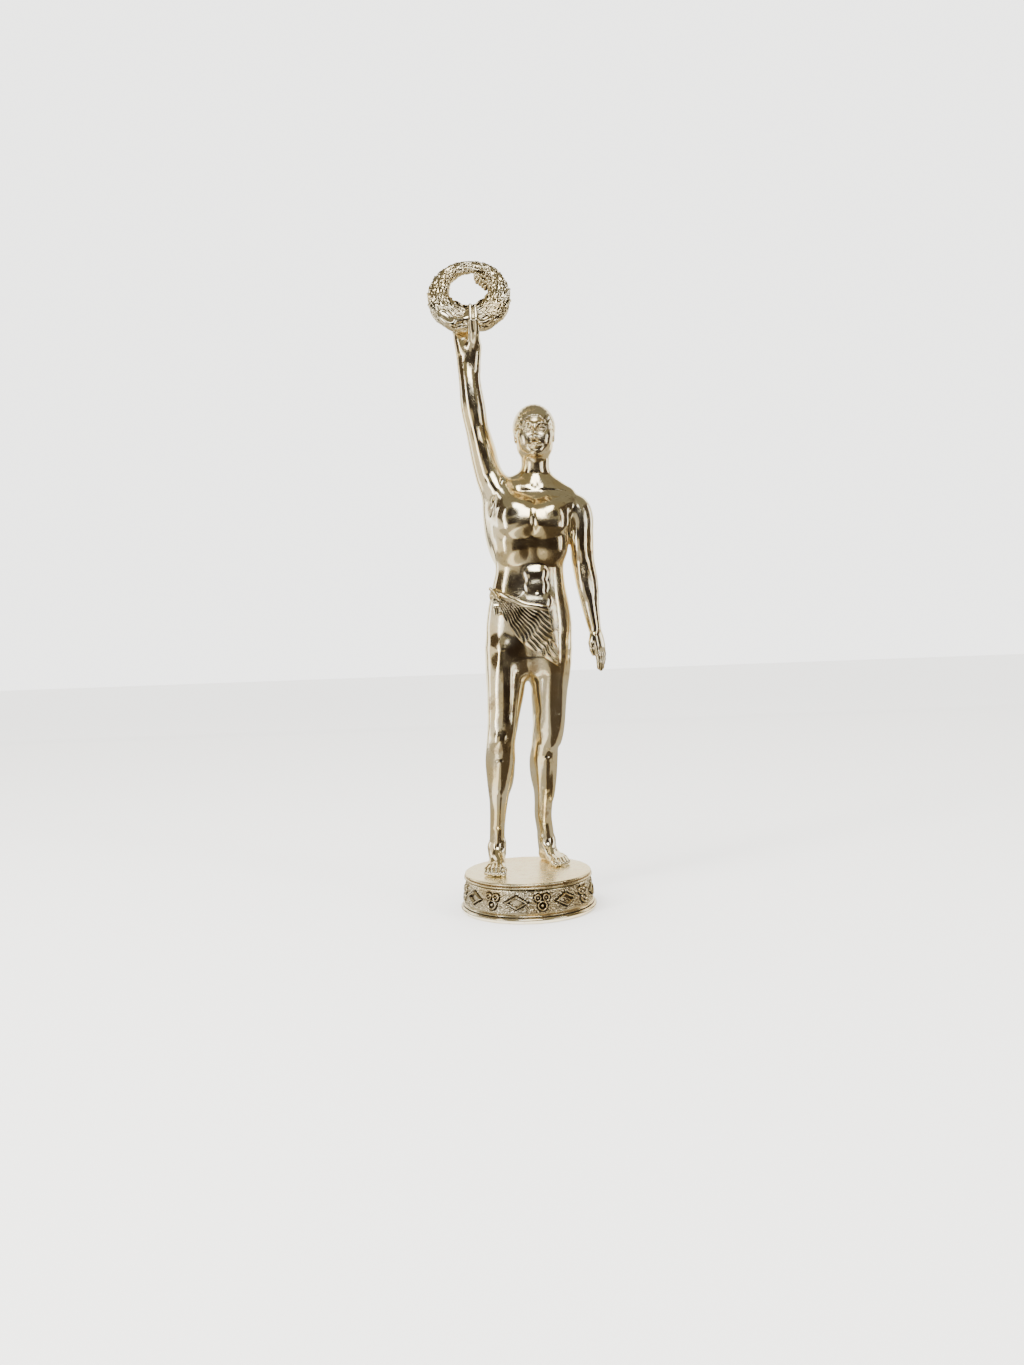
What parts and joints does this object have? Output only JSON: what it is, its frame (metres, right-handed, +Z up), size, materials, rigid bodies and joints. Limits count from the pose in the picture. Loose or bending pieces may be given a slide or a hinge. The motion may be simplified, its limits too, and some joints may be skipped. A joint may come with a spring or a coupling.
{
  "type": "trophy figure",
  "caption": "Plated standing athlete in a loincloth holding up a laurel wreath, on a small round base with a stippled, lozenged band.",
  "frame": {"origin": "centre of the base's underside, on the surface it stands on", "axes": "+Z up along the figure, -Y the way the figure faces, +X towards the figure's own left arm"},
  "size_m": [0.0548, 0.0444, 0.2127],
  "materials": {
    "figure_plating": "polished",
    "wreath_plating": "polished",
    "base_plating": "polished",
    "deck_plating": "satin",
    "steel_hardware": "satin",
    "brass_nut": "satin"
  },
  "bodies": {
    "root": {"head": "figure_plating", "torso": "figure_plating", "right_arm": "figure_plating", "left_arm": "figure_plating", "right_leg": "figure_plating", "left_leg": "figure_plating", "loincloth": "figure_plating", "hip_knot": "figure_plating", "wreath_spray_left": "wreath_plating", "wreath_spray_right": "wreath_plating", "wreath_ribbon": "wreath_plating", "base_band": "base_plating", "base_foot_ring": "base_plating", "base_deck": "deck_plating", "bottom_plate": "steel_hardware", "centre_stud": "steel_hardware", "lock_washer": "steel_hardware", "foot_screw_right": "steel_hardware", "foot_screw_left": "steel_hardware", "foot_washer_right": "steel_hardware", "foot_washer_left": "steel_hardware", "neck_dowel": "steel_hardware", "right_shoulder_dowel": "steel_hardware", "left_shoulder_dowel": "steel_hardware", "right_hip_dowel": "steel_hardware", "left_hip_dowel": "steel_hardware", "wreath_pin": "steel_hardware", "hex_nut": "brass_nut"}
  },
  "joints": []
}
